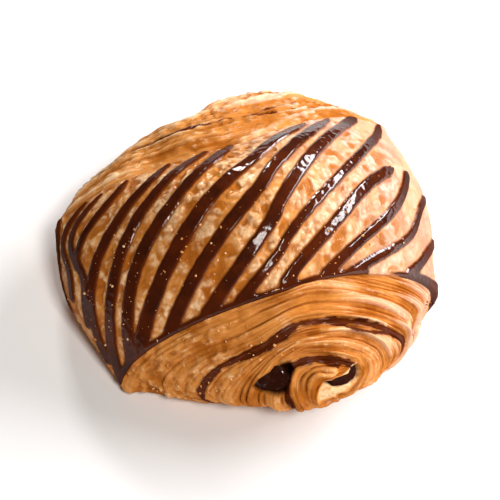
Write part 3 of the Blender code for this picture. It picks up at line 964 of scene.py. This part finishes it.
def build_end(at_front, sizes):
    """One end as a grid of reach and angle, with ridges along the rolled sheet's layers.

    A point between two faces of the sheet has the share of the way between them as its depth in
    the sheet, times the number of layers. Ridges, the dark layer's groove and the hollows round
    the sticks move it along the surface's own direction.
    """
    angle, direction = end_columns(at_front)
    reach = np.linspace(0.004, 1, END_ROWS) ** 0.86
    angles, reaches = np.meshgrid(angle, reach)
    points = end_points(angles, reaches, at_front)
    steps = np.linalg.norm(np.diff(points, axis=0), axis=-1)
    run = np.vstack([np.zeros(END_COLUMNS), np.cumsum(steps, axis=0)])
    x, z = points[..., 0], points[..., 2]
    if not at_front:
        x, z = front_place(x, z)
    radius = np.hypot(x - FRONT_RING[2], z - COIL_HEIGHT)
    ring_radius = radius[-1]
    if not at_front:
        direction = np.arctan2(z[-1] - COIL_HEIGHT, x[-1] - FRONT_RING[2])
        first = sheet_lines(direction, ring_radius)[0]
        direction = np.where(direction < first, direction + 2 * math.pi, direction)
    _, core, inner, outer = sheet_lines(direction, ring_radius)
    if not at_front:
        dip = 0.13 * np.exp(-((np.degrees(direction) - 158) / 38) ** 2)
        outer = ring_radius * (BACK_ROLL_SHARE + 0.03 * np.sin(3 * direction) - dip)
        inner = np.minimum(inner, outer * 0.8)
    depth, lap = sheet_place(radius, (core, inner, outer, ring_radius))
    along = (direction[None] + 2 * math.pi * lap) * RUN_PER_RADIAN
    bend = line_cloud(depth * 1.5, along / 26.0, 40)
    bend += 0.45 * line_cloud(depth * 2.6, along / 9.0, 39)
    count = LAYERS * (0.42 + 0.58 * ease(40, 110, along))
    count *= 1 - 0.45 * ease(195, 225, along)
    layer = depth * count + 1.2 * bend * np.sin(math.pi * np.clip(depth, 0, 1)) ** 0.5
    rough = pale = np.zeros_like(x)
    if at_front:
        ragged = ease(-16, -30, x + 5 * cloud(points, 6.0, 37))
        rough = ragged * ease(0.5, 0.75, reaches)
        pale = ease(-0.9, 0.5, core - radius)
    relief = sizes.layer_relief / MM
    # The groove values mask painted shade in the gaps between layers and in cracks.
    height, tone, groove = layer_height(layer, along, points, relief, rough)
    if not at_front:
        height, tone, groove = back_crust(points, x, reaches, height, tone, groove)
        layer = 0.55 * layer
    cocoa, sunk = cocoa_lines(run, direction, (inner, outer), reach, ring_radius)
    cocoa = cocoa + 0.36 * cloud(points, 1.5, 49) + 0.2 * cloud(points, 0.6, 50)
    margin = np.where(z > 5, 2.4, 1.0)
    cocoa = np.where((run > run[-1] - margin) | (radius < core), NO_COCOA, cocoa)
    cocoa -= 0.0 if at_front else 0.6
    normal = grid_normals(points)
    if (normal[END_ROWS // 2, :, 1].mean() > 0) == at_front:
        normal = -normal
    left = inside_distance(x, z, LEFT_HOLLOW)
    right = inside_distance(x, z, RIGHT_HOLLOW)
    # The hollows are coloured near-black chocolate: melted chocolate, and painted shade in their
    # depth.
    hollow = ease(-0.35, 0.35, np.maximum(left, right))
    deep = np.maximum(ease(-0.5, 1.5, left), ease(-0.4, 1.0, right))
    fade = ease(1.0, 4.0, points[..., 2]) * ease(0.0, 0.05, reaches)
    height = (height * (1 - pale) - sunk) * fade - sizes.hollow_depth / MM * deep
    height += dents(angles, reaches, FRONT_DENTS if at_front else BACK_DENTS)
    height -= pale * (0.9 + 0.35 * cloud(points, 0.9, 48))
    rim = np.full(END_COLUMNS, 0.0 if at_front else 1.0)
    outward = skin_outward(angle, rim)[1]
    drawn = side_tuck(angle, rim) * ease(0.6, 1.0, reaches) * off_floor(points[..., 2])
    moved = points + normal * height[..., None] + outward[None] * drawn[..., None]
    moved[..., 2] = np.maximum(moved[..., 2], 0)
    tongue = (lap == 0) * ease(1.2, 2.2, direction) * ease(5.9, 4.9, direction)
    tone = (tone - 0.7 * tongue) * (1 - pale) + pale * (1.35 + 0.4 * cloud(points, 0.9, 48))
    rings = np.concatenate([moved, tuck_rings(angle, at_front)])
    values = {"along": along, "layer": layer, "tone": tone, "groove": groove * (1 - pale),
              "cocoa": cocoa, "hollow": hollow}
    for key, value in values.items():
        values[key] = np.concatenate([value, np.repeat(value[-1:], len(TUCKS), axis=0)])
    name = "front_layers" if at_front else "back_layers"
    material = get_material("baked_layers", layers_material)
    piece = make_closed(name, rings[None], values, material)
    finish_piece(piece, "baked_crust")


def end_depth(x, z, at_front):
    """The y of an end's smooth form at these x and z, by their direction and share of the ring."""
    size, recess, tip = end_form(at_front)
    ring = ring_points(np.linspace(-math.pi, math.pi, 1441))[0 if at_front else 2]
    across, up = ring[:, 0] - size[2], ring[:, 2] - COIL_HEIGHT
    turn = np.unwrap(np.arctan2(up, across))
    direction = np.arctan2(z - COIL_HEIGHT, x - size[2])
    direction = turn[0] + (direction - turn[0]) % (2 * math.pi)
    ring_radius = np.interp(direction, turn, np.hypot(across, up))
    reach = np.hypot(x - size[2], z - COIL_HEIGHT) / ring_radius
    rim = np.interp(direction, turn, ring[:, 1])
    return tip + (rim - tip) * np.minimum(reach, 1) ** recess["power"]


def build_stick(name):
    """A chocolate stick: a rounded box's section carried from end to end, uneven and softened.

    Each line along it runs from a little below the front end's surface to a little below the back
    end's, so its faces slope as the ends do.
    """
    x, z, width, height, turn = STICKS[name]
    step = np.array([0.0, 0.0, 0.002, 0.007, 0.014, 0.024])
    size_step = np.array([0.3, 0.62, 0.85, 0.95, 0.99, 1.0])
    t = np.concatenate([step, np.linspace(0.05, 0.95, 60), 1 - step[::-1]])
    shrink = np.concatenate([size_step, np.ones(60), size_step[::-1]])
    around = np.linspace(0, 2 * math.pi, 56, endpoint=False)
    t, around = np.meshgrid(t, around, indexing="ij")
    cos, sin = np.cos(around), np.sin(around)
    fill = STICK_FILL / 2 * shrink[:, None]
    wide = fill * width * np.sign(cos) * np.abs(cos) ** STICK_POWER
    tall = fill * height * np.sign(sin) * np.abs(sin) ** STICK_POWER
    lean = math.radians(turn)
    across = wide * math.cos(lean) + tall * math.sin(lean)
    up = tall * math.cos(lean) - wide * math.sin(lean)
    back_x = BACK_RING[2] + (x - FRONT_RING[2]) * BACK_STRETCH
    back_z = z * BACK_LIFT
    first = end_depth(x + across, z + up, True) + STICK_DEPTH
    last = end_depth(back_x + across, back_z + up, False) - STICK_DEPTH
    y = first + (last - first) * t
    points = np.stack([x + (back_x - x) * t + across, y, z + (back_z - z) * t + up], axis=-1)
    for axis in range(3):
        lumps = 0.55 * cloud(points, 2.4, 61 + axis) + 0.2 * cloud(points, 1.1, 66 + axis)
        points[..., axis] += lumps
    material = get_material("soft_chocolate", stick_material)
    piece = make_closed(name + "_melted", points[None], {}, material)
    finish_piece(piece, "chocolate", name)


def build_crumbs(sizes):
    """Small lumps on the skin and the front end: balls of a few faces, uneven, at seeded places.

    Four in five lie in loose clusters on the skin, closer towards the front ring, and the others
    are spread over the front end's upper left. The sizes follow a steep curve.
    """
    random = np.random.default_rng(7)
    count = CRUMBS
    cluster_angle = random.uniform(48, 165, CRUMB_CLUSTERS)
    cluster_place = random.uniform(0.02, 0.75, CRUMB_CLUSTERS) ** 1.5
    chosen = random.integers(0, CRUMB_CLUSTERS, count)
    angle = np.radians(cluster_angle[chosen] + random.normal(0, 9, count))
    place = np.clip(cluster_place[chosen] + random.normal(0, 0.09, count), 0.015, 0.96)
    here, normal = skin_outward(angle, place)
    height = crust_height(here, angle, stripe_gap(here), sizes)[0] + side_tuck(angle, place) - 0.05
    on_end = np.arange(count) % 5 == 0
    end_angle = np.radians(random.uniform(98, 176, count))
    end_reach = random.uniform(0.62, 0.96, count)
    end_here = end_points(end_angle, end_reach, True)
    side = end_points(end_angle + 0.01, end_reach, True) - end_here
    outer = end_points(end_angle, end_reach + 0.01, True) - end_here
    end_normal = np.cross(side, outer)
    end_normal *= -np.sign(end_normal[:, 1:2]) / np.linalg.norm(end_normal, axis=1, keepdims=True)
    radius = sizes.crumb_size / MM * (0.4 + 1.5 * random.uniform(0, 1, count) ** 4)
    end_centre = end_here + end_normal * 0.25
    centre = np.where(on_end[:, None], end_centre, here + normal * height[:, None])
    rows, columns = CRUMB_GRID
    latitude = np.radians(np.linspace(-60, 60, rows))
    longitude = np.linspace(0, 2 * math.pi, columns, endpoint=False)
    latitude, longitude = np.meshgrid(latitude, longitude, indexing="ij")
    wide = np.cos(latitude)
    ball = np.stack([wide * np.cos(longitude), wide * np.sin(longitude), np.sin(latitude)], -1)
    lumps = ball[None] * random.uniform(0.55, 1.4, (count, 1, 1, 3))
    lumps = lumps * random.uniform(0.7, 1.25, (count, rows, columns, 1))
    rings = centre[:, None, None] + lumps * radius[:, None, None, None]
    tone = np.repeat(random.uniform(0, 1, count), rows * columns).reshape(count, rows, columns)
    material = get_material("toasted_crumbs", crumb_material)
    piece = make_closed("crumbs", rings, {"tone": tone}, material)
    finish_piece(piece, "baked_crust")


def add_light(name, place, target, size, energy, colour):
    data = bpy.data.lights.new(name, "AREA")
    data.shape = "RECTANGLE"
    data.size, data.size_y = size
    data.energy = energy
    data.color = colour
    lamp = bpy.data.objects.new(name, data)
    lamp.location = place
    lamp.rotation_euler = (Vector(target) - Vector(place)).to_track_quat("-Z", "Y").to_euler()
    bpy.context.scene.collection.objects.link(lamp)


def add_camera():
    """A camera on the line given by its turn and its height, rolled about that line."""
    turn, height, roll = (math.radians(degrees) for degrees in CAMERA_ANGLES)
    level = math.cos(height)
    back = Vector((math.sin(turn) * level, -math.cos(turn) * level, math.sin(height)))
    right = Vector((math.cos(turn), math.sin(turn), 0))
    up = back.cross(right)
    turned_right = right * math.cos(roll) + up * math.sin(roll)
    turned_up = up * math.cos(roll) - right * math.sin(roll)
    data = bpy.data.cameras.new("camera")
    data.sensor_width = 36.0
    data.lens = CAMERA_LENS
    data.shift_x, data.shift_y = CAMERA_SHIFT
    data.clip_start = 0.01
    camera = bpy.data.objects.new("camera", data)
    bpy.context.scene.collection.objects.link(camera)
    axes = Matrix((turned_right, turned_up, back)).transposed().to_4x4()
    place = Vector(CAMERA_TARGET) + back * CAMERA_DISTANCE
    camera.matrix_world = Matrix.Translation(place) @ axes
    bpy.context.scene.camera = camera


def build_stage():
    """A floor, a broad low window on the right, two smaller lights, a faint room and the camera."""
    scene = bpy.context.scene
    scene.view_settings.view_transform = "Standard"
    mesh = bpy.data.meshes.new("floor")
    corners = [(-3, -3, -0.0002), (3, -3, -0.0002), (3, 3, -0.0002), (-3, 3, -0.0002)]
    mesh.from_pydata(corners, [], [(0, 1, 2, 3)])
    mesh.materials.append(get_material("pale_floor", floor_material))
    floor = bpy.data.objects.new("floor", mesh)
    scene.collection.objects.link(floor)
    for name, light in LIGHTS.items():
        add_light(name, *light)
    world = bpy.data.worlds.new("soft_room")
    world.use_nodes = True
    background = world.node_tree.nodes["Background"]
    background.inputs["Color"].default_value = (1, 1, 1, 1)
    background.inputs["Strength"].default_value = ROOM_LIGHT
    scene.world = world
    add_camera()


# The add-on.


class PASTRY_OT_skin(bpy.types.Operator):
    """Make the skin with its blisters and dark stripes"""

    bl_idname = "pastry.skin"
    bl_label = "Skin"

    def execute(self, context):
        build_skin(context.scene.pastry_sizes)
        return {"FINISHED"}


class PASTRY_OT_ends(bpy.types.Operator):
    """Make the two layered ends"""

    bl_idname = "pastry.ends"
    bl_label = "Layered Ends"

    def execute(self, context):
        for at_front in (True, False):
            build_end(at_front, context.scene.pastry_sizes)
        return {"FINISHED"}


class PASTRY_OT_sticks(bpy.types.Operator):
    """Make the two chocolate sticks"""

    bl_idname = "pastry.sticks"
    bl_label = "Chocolate Sticks"

    def execute(self, context):
        for name in STICKS:
            build_stick(name)
        return {"FINISHED"}


class PASTRY_OT_crumbs(bpy.types.Operator):
    """Scatter the crumbs"""

    bl_idname = "pastry.crumbs"
    bl_label = "Crumbs"

    def execute(self, context):
        build_crumbs(context.scene.pastry_sizes)
        return {"FINISHED"}


class PASTRY_OT_stage(bpy.types.Operator):
    """Make the floor, the lights and the camera"""

    bl_idname = "pastry.stage"
    bl_label = "Stage"

    def execute(self, context):
        build_stage()
        return {"FINISHED"}


OPERATORS = (
    PASTRY_OT_skin, PASTRY_OT_ends, PASTRY_OT_sticks, PASTRY_OT_crumbs, PASTRY_OT_stage,
)


class PASTRY_PT_panel(bpy.types.Panel):
    """Lists the pieces with their sizes and colours"""

    bl_idname = "PASTRY_PT_panel"
    bl_label = "Pain au Chocolat"
    bl_space_type = "VIEW_3D"
    bl_region_type = "UI"
    bl_category = "Pastry"

    def draw(self, context):
        for operator in OPERATORS:
            self.layout.operator(operator.bl_idname)
        for group in (context.scene.pastry_sizes, context.scene.pastry_colours):
            for key in group.__annotations__:
                self.layout.prop(group, key)


CLASSES = (PastrySizes, PastryColours) + OPERATORS + (PASTRY_PT_panel,)


def register():
    for made in CLASSES:
        bpy.utils.register_class(made)
    bpy.types.Scene.pastry_sizes = bpy.props.PointerProperty(type=PastrySizes)
    bpy.types.Scene.pastry_colours = bpy.props.PointerProperty(type=PastryColours)


def unregister():
    del bpy.types.Scene.pastry_colours
    del bpy.types.Scene.pastry_sizes
    for made in reversed(CLASSES):
        bpy.utils.unregister_class(made)


def main():
    register()
    bpy.ops.pastry.skin()
    bpy.ops.pastry.ends()
    bpy.ops.pastry.sticks()
    bpy.ops.pastry.crumbs()
    bpy.ops.pastry.stage()


if __name__ == "__main__":
    main()
